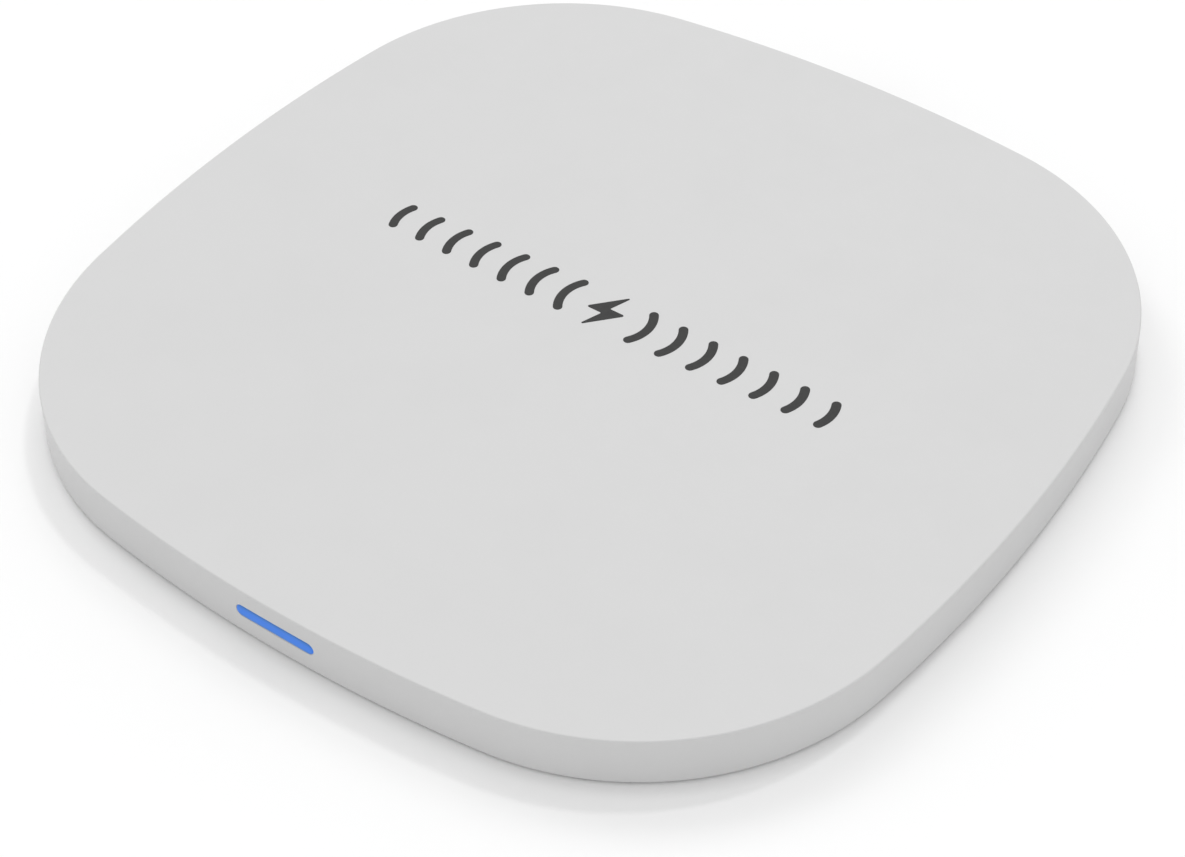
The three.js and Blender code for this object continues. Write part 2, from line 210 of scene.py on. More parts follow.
def boolean(mesh, tool_meshes, operation):
    """mesh with the tools cut from it, or joined to it."""
    body = bpy.data.objects.new("boolean_body", mesh)
    tool = bpy.data.objects.new("boolean_tool", merged(tool_meshes))
    for item in (body, tool):
        bpy.context.scene.collection.objects.link(item)
    modifier = body.modifiers.new("boolean", "BOOLEAN")
    modifier.operation = operation
    modifier.solver = "EXACT"
    modifier.use_self = False
    modifier.object = tool
    evaluated = body.evaluated_get(bpy.context.evaluated_depsgraph_get())
    result = bpy.data.meshes.new_from_object(evaluated)
    for item in (body, tool):
        bpy.data.objects.remove(item)
    return result


def smooth(piece, degrees=28):
    """Smooth shading, with edges sharper than that angle kept, weighted by the size of the faces."""
    piece.data.shade_smooth()
    piece.data.set_sharp_from_angle(angle=math.radians(degrees))
    weighted = piece.modifiers.new("weighted_normals", "WEIGHTED_NORMAL")
    weighted.keep_sharp = True
    return piece


# ---------------------------------------------------------------- materials


class Nodes:
    """Short names for building one material's nodes."""

    def __init__(self, name):
        self.material = bpy.data.materials.new(name)
        self.material.use_nodes = True
        self.tree = self.material.node_tree
        self.shader = self.tree.nodes["Principled BSDF"]
        self.place = self.tree.nodes.new("ShaderNodeTexCoord").outputs["Object"]

    def add(self, kind, inputs=None, **settings):
        node = self.tree.nodes.new(kind)
        for name, value in settings.items():
            setattr(node, name, value)
        for key, value in (inputs or {}).items():
            self.set(node.inputs[key], value)
        return node

    def set(self, socket, value):
        if isinstance(value, bpy.types.NodeSocket):
            self.tree.links.new(value, socket)
        else:
            socket.default_value = value

    def noise(self, cell, detail=2.0, roughness=0.5):
        """Noise from 0 to 1 whose cells are about that wide, in metres."""
        inputs = {"Vector": self.place, "Scale": 1 / cell, "Detail": detail, "Roughness": roughness}
        return self.add("ShaderNodeTexNoise", inputs).outputs["Fac"]

    def spread(self, value, low, high, from_low=0.3, from_high=0.7):
        """value, which runs between from_low and from_high, made to run between low and high."""
        inputs = {
            "Value": value,
            "From Min": from_low,
            "From Max": from_high,
            "To Min": low,
            "To Max": high,
        }
        return self.add("ShaderNodeMapRange", inputs).outputs["Result"]

    def blend(self, factor, first, second):
        node = self.add("ShaderNodeMix", data_type="RGBA")
        self.set(node.inputs["Factor"], factor)
        self.set(node.inputs[6], first)
        self.set(node.inputs[7], second)
        return node.outputs[2]

    def math(self, operation, first, second=0.0):
        return self.add("ShaderNodeMath", {0: first, 1: second}, operation=operation).outputs[0]

    def bump(self, height, depth, strength=1.0, normal=None):
        node = self.add("ShaderNodeBump", {"Height": height, "Distance": depth, "Strength": strength})
        if normal is not None:
            self.set(node.inputs["Normal"], normal)
        return node.outputs["Normal"]

    def finish(self, **inputs):
        for name, value in inputs.items():
            self.set(self.shader.inputs[name.replace("_", " ")], value)
        return self.material


def colour(red, green, blue):
    return (red, green, blue, 1.0)


def moulded_plastic(name, tint, roughness=0.5, grain=0.11 * MM, depth=0.004 * MM):
    """Matte moulded plastic: fine spark-eroded grain, a faint cloudiness and slightly uneven gloss."""
    nodes = Nodes(name)
    cloud = nodes.spread(nodes.noise(9 * MM, 3.0), 0.5, 1.2)
    speck = nodes.spread(nodes.noise(0.25 * MM, 2.0), 0.0, 1.0)
    darker = colour(*(0.985 * part for part in tint))
    lighter = colour(*(min(1.0, 1.012 * part) for part in tint))
    shade = nodes.blend(cloud, darker, lighter)
    base = nodes.blend(nodes.math("MULTIPLY", speck, 0.35), shade, darker)
    fine = nodes.noise(grain, 3.0, 0.6)
    coarse = nodes.noise(grain * 5, 2.0)
    normal = nodes.bump(fine, depth, 0.7)
    normal = nodes.bump(coarse, depth * 1.2, 0.35, normal)
    gloss = nodes.spread(nodes.noise(1.6 * MM, 4.0), roughness - 0.035, roughness + 0.035)
    return nodes.finish(Base_Color=base, Roughness=gloss, Normal=normal, Specular_IOR_Level=0.25)


def printed_ink(name):
    """Dark grey screen print: slightly uneven ink with a fine grain."""
    nodes = Nodes(name)
    uneven = nodes.spread(nodes.noise(0.5 * MM, 4.0, 0.65), 0.0, 1.0)
    base = nodes.blend(uneven, colour(0.034, 0.034, 0.034), colour(0.042, 0.042, 0.041))
    normal = nodes.bump(nodes.noise(0.1 * MM, 3.0), 0.003 * MM, 0.6)
    return nodes.finish(Base_Color=base, Roughness=0.62, Normal=normal, Specular_IOR_Level=0.2)


def lit_acrylic(name, middle, half_height, led_places):
    """Clear blue-lit acrylic: brightest along its middle and over each LED, darker at its rim."""
    nodes = Nodes(name)
    split = nodes.add("ShaderNodeSeparateXYZ", {"Vector": nodes.place})
    across = nodes.math("ABSOLUTE", nodes.math("SUBTRACT", split.outputs["Z"], middle))
    rim = nodes.spread(across, 0.0, 1.0, 0.35 * half_height, 0.95 * half_height)
    glow = nodes.blend(rim, colour(0.013, 0.16, 0.665), colour(0.012, 0.12, 0.4))
    for led in led_places:
        away = nodes.math("ABSOLUTE", nodes.math("SUBTRACT", split.outputs["X"], led))
        near = nodes.spread(away, 0.35, 0.0, 0.2 * MM, 1.8 * MM)
        lit = nodes.math("MULTIPLY", near, nodes.math("SUBTRACT", 1.0, rim))
        glow = nodes.blend(lit, glow, colour(0.02, 0.17, 0.7))
    frost = nodes.bump(nodes.noise(0.08 * MM, 2.0), 0.002 * MM, 0.5)
    return nodes.finish(
        Base_Color=colour(0.01, 0.03, 0.09),
        Emission_Color=glow,
        Emission_Strength=0.9,
        Roughness=0.35,
        Normal=frost,
    )


def rubber(name, tint):
    """Matte silicone rubber, faintly cloudy."""
    nodes = Nodes(name)
    cloud = nodes.spread(nodes.noise(1.2 * MM, 4.0), 0.0, 1.0)
    darker = colour(*(0.9 * part for part in tint))
    lighter = colour(*(1.08 * part for part in tint))
    base = nodes.blend(cloud, darker, lighter)
    normal = nodes.bump(nodes.noise(0.15 * MM, 4.0, 0.6), 0.01 * MM, 0.6)
    return nodes.finish(Base_Color=base, Roughness=0.85, Normal=normal, Specular_IOR_Level=0.3)


def plated_metal(name, tint, roughness=0.3, line=0.06 * MM):
    """Plated metal with fine drawing lines and faint stains."""
    nodes = Nodes(name)
    stretched = nodes.add("ShaderNodeMapping", {"Vector": nodes.place, "Scale": (1.0, 0.08, 1.0)})
    inputs = {"Vector": stretched.outputs[0], "Scale": 1 / line, "Detail": 2.0}
    lines = nodes.add("ShaderNodeTexNoise", inputs)
    stain = nodes.spread(nodes.noise(1.5 * MM, 4.0), 0.0, 1.0)
    base = nodes.blend(stain, colour(*(0.88 * part for part in tint)), colour(*tint))
    gloss = nodes.spread(lines.outputs["Fac"], roughness - 0.06, roughness + 0.1)
    normal = nodes.bump(lines.outputs["Fac"], 0.002 * MM, 0.4)
    return nodes.finish(Base_Color=base, Metallic=1.0, Roughness=gloss, Normal=normal)


def speckled(name, tint, other, cell, roughness=0.6, depth=0.01 * MM):
    """A two-tone grained surface, for ferrite, foam, laminate, ceramic and moulding compound."""
    nodes = Nodes(name)
    grain = nodes.noise(cell, 5.0, 0.6)
    base = nodes.blend(nodes.spread(grain, 0.0, 1.0, 0.45, 0.6), colour(*tint), colour(*other))
    gloss = nodes.spread(nodes.noise(cell * 6, 3.0), roughness - 0.08, roughness + 0.08)
    normal = nodes.bump(grain, depth, 0.6)
    return nodes.finish(Base_Color=base, Roughness=gloss, Normal=normal)


STRAND_LINES = 9000.0  # radians of the pattern a metre outwards
STRAND_SLANT = 60.0  # radians of the pattern a radian round the winding


def litz_wire(name):
    """Enamelled copper litz wire: fine diagonal lines of its twisted wires that run round the winding,
    with painted shade that makes the grooves between them darker than their crests.
    """
    nodes = Nodes(name)
    split = nodes.add("ShaderNodeSeparateXYZ", {"Vector": nodes.place})
    across = nodes.math("MULTIPLY", split.outputs["X"], split.outputs["X"])
    along = nodes.math("MULTIPLY", split.outputs["Y"], split.outputs["Y"])
    radius = nodes.math("SQRT", nodes.math("ADD", across, along))
    angle = nodes.math("ARCTAN2", split.outputs["Y"], split.outputs["X"])
    outwards = nodes.math("MULTIPLY", radius, STRAND_LINES)
    around = nodes.math("MULTIPLY", angle, STRAND_SLANT)
    phase = nodes.math("ADD", outwards, around)
    ridges_and_groove_shade = nodes.spread(nodes.math("SINE", phase), 0.0, 1.0, -1.0, 1.0)
    # painted shade: the grooves between the twisted wires get the dark copper and their crests the light
    # copper
    base = nodes.blend(ridges_and_groove_shade, colour(0.36, 0.12, 0.045), colour(0.72, 0.3, 0.13))
    normal = nodes.bump(ridges_and_groove_shade, 0.02 * MM, 0.8)
    return nodes.finish(Base_Color=base, Metallic=0.85, Roughness=0.36, Normal=normal)


WHITE = moulded_plastic("shell_plastic", (0.6, 0.6, 0.6))
COVER_WHITE = moulded_plastic("cover_plastic", (0.58, 0.58, 0.58), roughness=0.56, grain=0.16 * MM)
INK = printed_ink("printed_ink")
RUBBER = rubber("foot_rubber", (0.27, 0.275, 0.28))
STEEL = plated_metal("screw_steel", (0.62, 0.63, 0.64))
INLET_STEEL = plated_metal("inlet_steel", (0.66, 0.66, 0.67), roughness=0.24)
GOLD = plated_metal("contact_gold", (0.83, 0.6, 0.25), roughness=0.22)
TAPE = speckled("adhesive_tape", (0.8, 0.72, 0.48), (0.72, 0.64, 0.4), 0.8 * MM, 0.4)
COPPER = litz_wire("litz_copper")
FERRITE = speckled("ferrite", (0.045, 0.047, 0.05), (0.03, 0.031, 0.033), 0.12 * MM, 0.55)
FOAM = speckled("foam", (0.09, 0.092, 0.1), (0.035, 0.036, 0.04), 0.3 * MM, 0.9, 0.05 * MM)
GLASS_BEAD = speckled("thermistor_glass", (0.03, 0.03, 0.035), (0.05, 0.05, 0.055), 0.3 * MM, 0.15)
SLEEVE = speckled("wire_sleeve", (0.02, 0.02, 0.022), (0.03, 0.03, 0.032), 0.1 * MM, 0.5)
LAMINATE = speckled("board_laminate", (0.012, 0.12, 0.055), (0.016, 0.15, 0.07), 0.6 * MM, 0.3)
BLACK_PLASTIC = speckled("inlet_plastic", (0.012, 0.012, 0.013), (0.02, 0.02, 0.021), 0.1 * MM, 0.5)
CHIP = speckled("chip_plastic", (0.018, 0.018, 0.019), (0.03, 0.03, 0.031), 0.08 * MM, 0.62)
CRYSTAL = plated_metal("crystal_can", (0.7, 0.71, 0.72), roughness=0.2)
RESISTOR = speckled("resistor_film", (0.015, 0.015, 0.017), (0.022, 0.022, 0.024), 0.2 * MM, 0.25)
CERAMIC = speckled("capacitor_ceramic", (0.42, 0.26, 0.13), (0.36, 0.21, 0.1), 0.25 * MM, 0.4)
LED_RESIN = speckled("led_resin", (0.85, 0.83, 0.68), (0.9, 0.89, 0.78), 0.2 * MM, 0.3)

# ---------------------------------------------------------------- case

FOOT_NODES = ("foot_front_left", "foot_front_right", "foot_back_left", "foot_back_right")
FOOT_PLACES = [centre_of(node) for node in FOOT_NODES]
FOOT_RADIUS = 5 * MM
FOOT_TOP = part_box(FOOT_NODES[0])[1].z
BOARD_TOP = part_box("circuit_board")[1].z
BOARD_SCREWS = [centre_of(f"board_screw_{number}") for number in (1, 2, 3, 4)]
COVER_TOP = CASE_BOTTOM + 0.7 * MM
BOSS_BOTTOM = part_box("bottom_cover")[1].z
INLET_LOW, INLET_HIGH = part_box("usb_shell")
INLET_Z = (INLET_LOW.z + INLET_HIGH.z) / 2
INLET_SIZE = (INLET_HIGH.x - INLET_LOW.x, INLET_HIGH.z - INLET_LOW.z)
JOIN = 0.2 * MM  # how far a part of the moulding runs into the wall that it grows from
BOSS_RADIUS = 2.6 * MM  # the case screws' bosses
POST_RADIUS = 2.2 * MM  # the board screws' posts
BOSS_PILOT_RADIUS = 0.85 * MM
POST_PILOT_RADIUS = 0.75 * MM
PILOT_STOP = 0.4 * MM  # plastic below the top's inside that a pilot hole leaves
FOOT_CLEARANCE = 0.1 * MM
PAD_RADIUS = 4 * MM  # the thick places of the cover, over the feet
POCKET_RADIUS = 2 * MM  # for a case screw's head
POCKET_ROOF = 0.65 * MM  # plastic that the head clamps
HOLE_RADIUS = 1 * MM
FENCE_CLEARANCE = 0.4 * MM
FENCE_WIDTH = 0.8 * MM
FENCE_HEIGHT = 0.9 * MM
FENCE_WINDOW = (8 * MM, 7 * MM, 2 * MM)
FENCE_WINDOW_OFFSET = 7.5 * MM  # the window's middle, to the left of the line at LEAD_ANGLE
LEAD_ANGLE = math.radians(50)  # the way that the coil's two ends leave it
BAR_SIZE = (9.4 * MM, 1.4 * MM)
BAR_Z = centre_of("light_guide").z
BAR_CLEARANCE = 0.02 * MM  # all round: the bar is this much smaller than its size, its slot larger
FLANGE_INNER = 47.5 * MM  # from the pad's middle
FLANGE_OUTER = 48.2 * MM
FLANGE_CHAMFER = 0.1 * MM
STEM_SIZE = (8.4 * MM, 1.1 * MM)
INLET_CLEARANCE = 0.15 * MM
MOUTH_FLARE = (0.1 * MM, 0.36 * MM)  # round the inlet, at the slot and at the wall's surface


def wall_offset(z):
    """How far the wall's outside is beyond the top outline at height z."""
    return TOP_EDGE_OFFSET + (TOP - z) * math.tan(WALL_LEAN)


def on_wall(side, z):
    """A frame on the outside of the front (-1) or back (+1) wall: X along it, Y up it, Z out of it."""
    out = Matrix.Rotation(math.pi / 2 - WALL_LEAN, 4, "X")
    turn = Matrix.Identity(4) if side < 0 else Matrix.Rotation(math.pi, 4, "Z")
    return Matrix.Translation((0, side * (HALF_TOP + wall_offset(z)), z)) @ turn @ out


def level_frame(side, z):
    """The same place, but with Z level."""
    turn = Matrix.Identity(4) if side < 0 else Matrix.Rotation(math.pi, 4, "Z")
    place = Matrix.Translation((0, side * (HALF_TOP + wall_offset(z)), z))
    return place @ turn @ Matrix.Rotation(math.pi / 2, 4, "X")


def shell_outside():
    """The moulding before it is hollowed: a flat top, a leaning wall and a chamfered underside."""
    rim = WALL_FLARE - UNDER_CHAMFER[0]
    profile = rounded([
        (rim, CASE_BOTTOM, 0),
        (WALL_FLARE, WALL_BOTTOM, 0.1 * MM),
        (TOP_EDGE_OFFSET, TOP, 0.2 * MM),
        (-2 * MM, TOP, 0),
    ])
    return case_loft([(point.x, point.y) for point in profile])


def post(place, radius, bottom, top, steps=32):
    """An upright cylinder."""
    return turned([(radius, bottom), (radius, top)], place, steps)


def coil_fence():
    """The low ring that centres the coil, open where the coil's two ends leave it."""
    coil_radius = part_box("coil_winding")[1].x
    bottom = TOP_INSIDE - FENCE_HEIGHT
    bore_radius = coil_radius + FENCE_CLEARANCE
    ring = post((0, 0), bore_radius + FENCE_WIDTH, bottom, TOP_INSIDE + JOIN, 96)
    bore = post((0, 0), bore_radius, bottom - MM, TOP, 96)
    window = slab(FENCE_WINDOW, Vector((coil_radius, FENCE_WINDOW_OFFSET, TOP_INSIDE - MM)))
    window.transform(Matrix.Rotation(LEAD_ANGLE, 4, "Z"))
    return boolean(boolean(ring, [bore], "DIFFERENCE"), [window], "DIFFERENCE")


def top_shell():
    """The white moulding: top, side wall, bosses, posts and fence, with its slots in the walls."""
    hollow = case_loft([(-WALL_THICKNESS, CASE_BOTTOM - MM), (-WALL_THICKNESS, TOP_INSIDE)])
    body = boolean(shell_outside(), [hollow], "DIFFERENCE")
    root = TOP_INSIDE + JOIN
    bosses = [post(place, BOSS_RADIUS, BOSS_BOTTOM, root) for place in FOOT_PLACES]
    posts = [post(place, POST_RADIUS, BOARD_TOP, root) for place in BOARD_SCREWS]
    body = boolean(body, bosses + posts, "UNION")
    body = boolean(body, [coil_fence()], "UNION")
    pilot_end = TOP_INSIDE - PILOT_STOP
    pilots = [post(place, BOSS_PILOT_RADIUS, BOSS_BOTTOM - MM, pilot_end) for place in FOOT_PLACES]
    pilots += [post(place, POST_PILOT_RADIUS, BOARD_TOP - MM, pilot_end) for place in BOARD_SCREWS]
    bar_slot = stack(
        lambda growth: pill(*BAR_SIZE, growth),
        [(BAR_CLEARANCE, -4 * MM), (BAR_CLEARANCE, -0.07 * MM), (0.1 * MM, 0.01 * MM), (0.1 * MM, MM)],
        on_wall(-1, BAR_Z),
    )
    inlet_slot = stack(
        lambda growth: pill(*INLET_SIZE, growth),
        [(INLET_CLEARANCE, -5 * MM), (INLET_CLEARANCE, 2 * MM)],
        level_frame(1, INLET_Z),
    )
    slot_side, wall_side = MOUTH_FLARE
    inlet_mouth = stack(
        lambda growth: pill(*INLET_SIZE, growth),
        [(slot_side, -0.25 * MM), (wall_side, 0.01 * MM), (wall_side, MM)],
        on_wall(1, INLET_Z),
    )
    body = boolean(body, [*pilots, bar_slot], "DIFFERENCE")
    body = boolean(body, [inlet_slot], "DIFFERENCE")
    body = boolean(body, [inlet_mouth], "DIFFERENCE")
    smooth(new_piece("shell_moulding", body, WHITE, ["top_shell"]))


def bottom_cover():
    """The plate that closes the underside, with a recess for each foot and its screw under it."""
    edge = -WALL_THICKNESS - COVER_GAP
    profile = rounded([
        (edge - 0.6 * MM, CASE_BOTTOM, 0),
        (edge, CASE_BOTTOM, 0.15 * MM),
        (edge, COVER_TOP, 0.1 * MM),
        (edge - 0.5 * MM, COVER_TOP, 0),
    ], 3)
    plate = case_loft([(point.x, point.y) for point in profile])
    pads = [post(place, PAD_RADIUS, COVER_TOP - JOIN, BOSS_BOTTOM) for place in FOOT_PLACES]
    plate = boolean(plate, pads, "UNION")
    recess_radius = FOOT_RADIUS + FOOT_CLEARANCE
    recesses = [post(place, recess_radius, 0, FOOT_TOP, 64) for place in FOOT_PLACES]
    plate = boolean(plate, recesses, "DIFFERENCE")
    pocket_top = BOSS_BOTTOM - POCKET_ROOF
    pockets = [post(place, POCKET_RADIUS, 0, pocket_top) for place in FOOT_PLACES]
    plate = boolean(plate, pockets, "DIFFERENCE")
    holes = [post(place, HOLE_RADIUS, 0, TOP) for place in FOOT_PLACES]
    plate = boolean(plate, holes, "DIFFERENCE")
    smooth(new_piece("cover_moulding", plate, COVER_WHITE, ["bottom_cover"]))


def foot(node, place):
    """A rubber disc with rounded edges and a shallow ring moulded round its standing face."""
    ring = 3.3 * MM
    profile = rounded([
        (0.05 * MM, 0, 0),
        (ring - 0.25 * MM, 0, 0),
        (ring - 0.1 * MM, 0.15 * MM, 0.08 * MM),
        (ring + 0.1 * MM, 0.15 * MM, 0.08 * MM),
        (ring + 0.25 * MM, 0, 0),
        (FOOT_RADIUS, 0, 0.22 * MM),
        (FOOT_RADIUS, FOOT_TOP, 0.1 * MM),
        (0.05 * MM, FOOT_TOP, 0),
    ], 4)
    mesh = turned([(point.x, point.y) for point in profile], place)
    smooth(new_piece(node + "_pad", mesh, RUBBER, [node]), 40)


def light_bar():
    """The acrylic bar: a face level with the wall, rounded at its rim, a flange and a stem."""
    face = rounded([
        (-BAR_CLEARANCE, -2.0 * MM, 0),
        (-BAR_CLEARANCE, -0.03 * MM, 0.14 * MM),
        (-0.4 * MM, 0.0 * MM, 0),
    ])
    front = stack(
        lambda growth: pill(*BAR_SIZE, growth),
        [(point.x, point.y) for point in face],
        on_wall(-1, BAR_Z),
    )
    low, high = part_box("light_guide")
    wall_face = HALF_TOP + wall_offset(BAR_Z)
    from_middle = level_frame(-1, BAR_Z) @ Matrix.Translation((0, 0, -wall_face))
    flange = stack(
        lambda growth: pill(high.x - low.x, high.z - low.z, growth),
        [
            (-FLANGE_CHAMFER, FLANGE_INNER),
            (0, FLANGE_INNER + FLANGE_CHAMFER),
            (0, FLANGE_OUTER - FLANGE_CHAMFER),
            (-FLANGE_CHAMFER, FLANGE_OUTER),
        ],
        from_middle,
    )
    stem = stack(
        lambda growth: pill(*STEM_SIZE, growth),
        [(0, -high.y), (0, (FLANGE_INNER + FLANGE_OUTER) / 2)],
        from_middle,
    )
    body = boolean(boolean(front, [flange], "UNION"), [stem], "UNION")
    leds = [centre_of("status_led_left").x, centre_of("status_led_right").x]
    acrylic = lit_acrylic("light_bar", BAR_Z, BAR_SIZE[1] / 2, leds)
    bar = smooth(new_piece("light_bar", body, acrylic, ["light_guide"]), 35)
    bar.visible_diffuse = False  # its dim glow leaves no blue on the floor or the wall


# ---------------------------------------------------------------- printed sign

MARK_CENTRE = Vector((0.6 * MM, 1.0 * MM))
MARK_HEIGHT = 5.6 * MM
INK_THICKNESS = 0.012 * MM
STROKE = 1.0 * MM
WAVES = 7
WAVE_RADIUS = 3.9 * MM
FIRST_WAVE = 5.2 * MM
WAVE_STEP = 3.67 * MM
WAVE_FADE = 0.1 * MM  # how much lower each wave's half is than the one before
END_STEPS = 8


def ink_patch(points):
    """A flat patch of ink on the top face, from points about the middle of the sign."""
    rings = [
        [(MARK_CENTRE.x + point[0], MARK_CENTRE.y + point[1], height) for point in points]
        for height in (TOP - INK_THICKNESS / 2, TOP + INK_THICKNESS)
    ]
    return skin(rings)


def arc_band(centre_x, radius, half_angle, direction, steps=24):
    """A stroke along an arc, hollow towards the middle of the sign, with round ends."""
    points = []
    for rim, sweep in ((radius + STROKE / 2, 1), (radius - STROKE / 2, -1)):
        for step in range(steps + 1):
            angle = sweep * (-half_angle + 2 * half_angle * step / steps)
            points.append((centre_x + rim * math.cos(angle), rim * math.sin(angle)))
        end = sweep * half_angle
        middle = Vector((centre_x + radius * math.cos(end), radius * math.sin(end)))
        start = end if sweep > 0 else end + math.pi
        for step in range(1, END_STEPS):
            angle = start + math.pi * step / END_STEPS
            reach = Vector((math.cos(angle), math.sin(angle))) * STROKE / 2
            points.append(tuple(middle + reach))
    if direction < 0:
        points = [(-x, y) for x, y in reversed(points)]
    return points


def printed_sign():
    """A bolt between waves that spread to both sides: a plain sign for charging through the air."""
    half = MARK_HEIGHT / 2
    bolt = rounded([
        (1.2 * MM, 1.2 * half, 0.12 * MM),
        (-2.2 * MM, -0.5 * MM, 0.18 * MM),
        (-0.2 * MM, -0.5 * MM, 0.1 * MM),
        (-1.2 * MM, -1.2 * half, 0.12 * MM),
        (2.2 * MM, 0.5 * MM, 0.18 * MM),
        (0.2 * MM, 0.5 * MM, 0.1 * MM),
    ], 4, closed=True)
    patches = [ink_patch([(point.x, point.y) for point in bolt])]
    for direction in (-1, 1):
        for wave in range(WAVES):
            height = half - STROKE / 2 - WAVE_FADE * wave
            centre_x = FIRST_WAVE + WAVE_STEP * wave - WAVE_RADIUS
            half_angle = math.asin(height / WAVE_RADIUS)
            patches.append(ink_patch(arc_band(centre_x, WAVE_RADIUS, half_angle, direction)))
    smooth(new_piece("printed_sign", merged(patches), INK))


# ---------------------------------------------------------------- inlet

INLET_WALL = 0.3 * MM
TONGUE_WIDTH = 6.69 * MM
TONGUE_THICKNESS = 0.7 * MM
TONGUE_BASE = 1.9 * MM
CONTACTS = 12  # on each face of the tongue
CONTACT_PITCH = 0.5 * MM
CONTACT_SIZE = (0.26 * MM, 3.6 * MM, 0.04 * MM)
CONTACT_FROM_TIP = 2.1 * MM  # from the tongue's tip to a contact's middle


def inlet_frame(y):
    """A frame in the middle of the inlet at that y, with Z towards its mouth."""
    return Matrix.Translation((0, y, INLET_Z)) @ Matrix.Rotation(-math.pi / 2, 4, "X")


def usb_shell():
    """The stamped metal shell, with a rounded lip at its mouth."""
    length = INLET_HIGH.y - INLET_LOW.y
    section = rounded([
        (0, 0, 0.05 * MM),
        (0, length, 0.12 * MM),
        (-INLET_WALL, length, 0.12 * MM),
        (-INLET_WALL, 0, 0.05 * MM),
    ], 5, closed=True)
    mesh = stack(
        lambda growth: pill(*INLET_SIZE, growth, 24),
        [(point.x, point.y) for point in section],
        inlet_frame(INLET_LOW.y),
        closed=True,
    )
    smooth(new_piece("inlet_shell", mesh, INLET_STEEL, ["usb_shell"]), 40)


def slab(size, place, edge=0.0):
    """A box, with bevels of that width along its edges."""
    build = bmesh.new()
    matrix = Matrix.Translation(place) @ Matrix.Diagonal((*size, 1))
    bmesh.ops.create_cube(build, size=1.0, matrix=matrix)
    if edge:
        edges = build.edges[:]
        bmesh.ops.bevel(build, geom=edges, offset=edge, segments=2, profile=0.6, affect="EDGES")
    mesh = bpy.data.meshes.new("slab")
    build.to_mesh(mesh)
    build.free()
    return mesh


def usb_tongue():
    """The black insulator and its tongue, with the gold contacts as pieces of their own."""
    low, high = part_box("usb_tongue")
    base = stack(
        lambda growth: pill(high.x - low.x, high.z - low.z, growth),
        [(-0.05 * MM, 0), (0, 0.05 * MM), (0, TONGUE_BASE - 0.1 * MM), (-0.1 * MM, TONGUE_BASE)],
        inlet_frame(low.y),
    )
    tongue_start = low.y + TONGUE_BASE - 0.3 * MM
    tongue_length = high.y - tongue_start
    tongue = slab(
        (TONGUE_WIDTH, tongue_length, TONGUE_THICKNESS),
        Vector((0, tongue_start + tongue_length / 2, INLET_Z)),
        0.12 * MM,
    )
    body = boolean(base, [tongue], "UNION")
    smooth(new_piece("inlet_tongue", body, BLACK_PLASTIC, ["usb_tongue"]), 35)
    contacts = []
    for face in (-1, 1):
        for index in range(CONTACTS):
            x = (index - (CONTACTS - 1) / 2) * CONTACT_PITCH
            z = INLET_Z + face * TONGUE_THICKNESS / 2
            place = Vector((x, high.y - CONTACT_FROM_TIP, z))
            contacts.append(slab(CONTACT_SIZE, place, 0.01 * MM))
    smooth(new_piece("inlet_contacts", merged(contacts), GOLD))


# ---------------------------------------------------------------- inside

COIL_INNER_RADIUS = 10.25 * MM  # of the winding's CAD ring
COIL_TURNS = 9
COIL_STEPS = 72  # a turn
COIL_FILL = 0.49  # half the wire's width and height, as a part of a turn's pitch and the ring's height
STRAND_DEPTH = 0.1  # of the grooves between bundles, as a part of the wire's half width
STRANDS = 7  # bundles that show round the litz wire
STRAND_STEPS = 3
TWIST_LENGTH = 9 * MM


def coil_winding():
    """One flat spiral of twisted litz wire, wound from the inner edge of its CAD ring to the outer."""
    low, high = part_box("coil_winding")
    inner = COIL_INNER_RADIUS
    pitch = (high.x - inner) / (COIL_TURNS + 1)
    middle = (low.z + high.z) / 2
    wide, tall = pitch * COIL_FILL, (high.z - low.z) * COIL_FILL
    rings = []
    for step in range(COIL_TURNS * COIL_STEPS + 1):
        turn = step / COIL_STEPS
        angle = 2 * math.pi * turn
        radius = inner + pitch * (turn + 0.5)
        twist = 2 * math.pi * turn * math.pi * (inner + high.x) / TWIST_LENGTH / STRANDS
        ring = []
        for index in range(STRANDS * STRAND_STEPS):
            around = twist - 2 * math.pi * index / (STRANDS * STRAND_STEPS)
            swell = 1 - STRAND_DEPTH * (0.5 + 0.5 * math.cos(STRANDS * (around - twist)))
            across = radius + wide * swell * math.cos(around)
            ring.append((
                across * math.cos(angle),
                across * math.sin(angle),
                middle + tall * swell * math.sin(around),
            ))
        rings.append(ring)
    smooth(new_piece("litz_coil", skin(rings), COPPER, ["coil_winding"]), 60)


HEAD_HEIGHT = 0.4 * MM
THREAD_PITCH = 0.55 * MM
THREAD_ROOT = 0.82  # as a part of the shank's radius
POINT_RADIUS = 0.55  # the same
CROSS_LENGTH = 1.15  # as a part of the head's radius
CROSS_WIDTH = 0.26  # the same


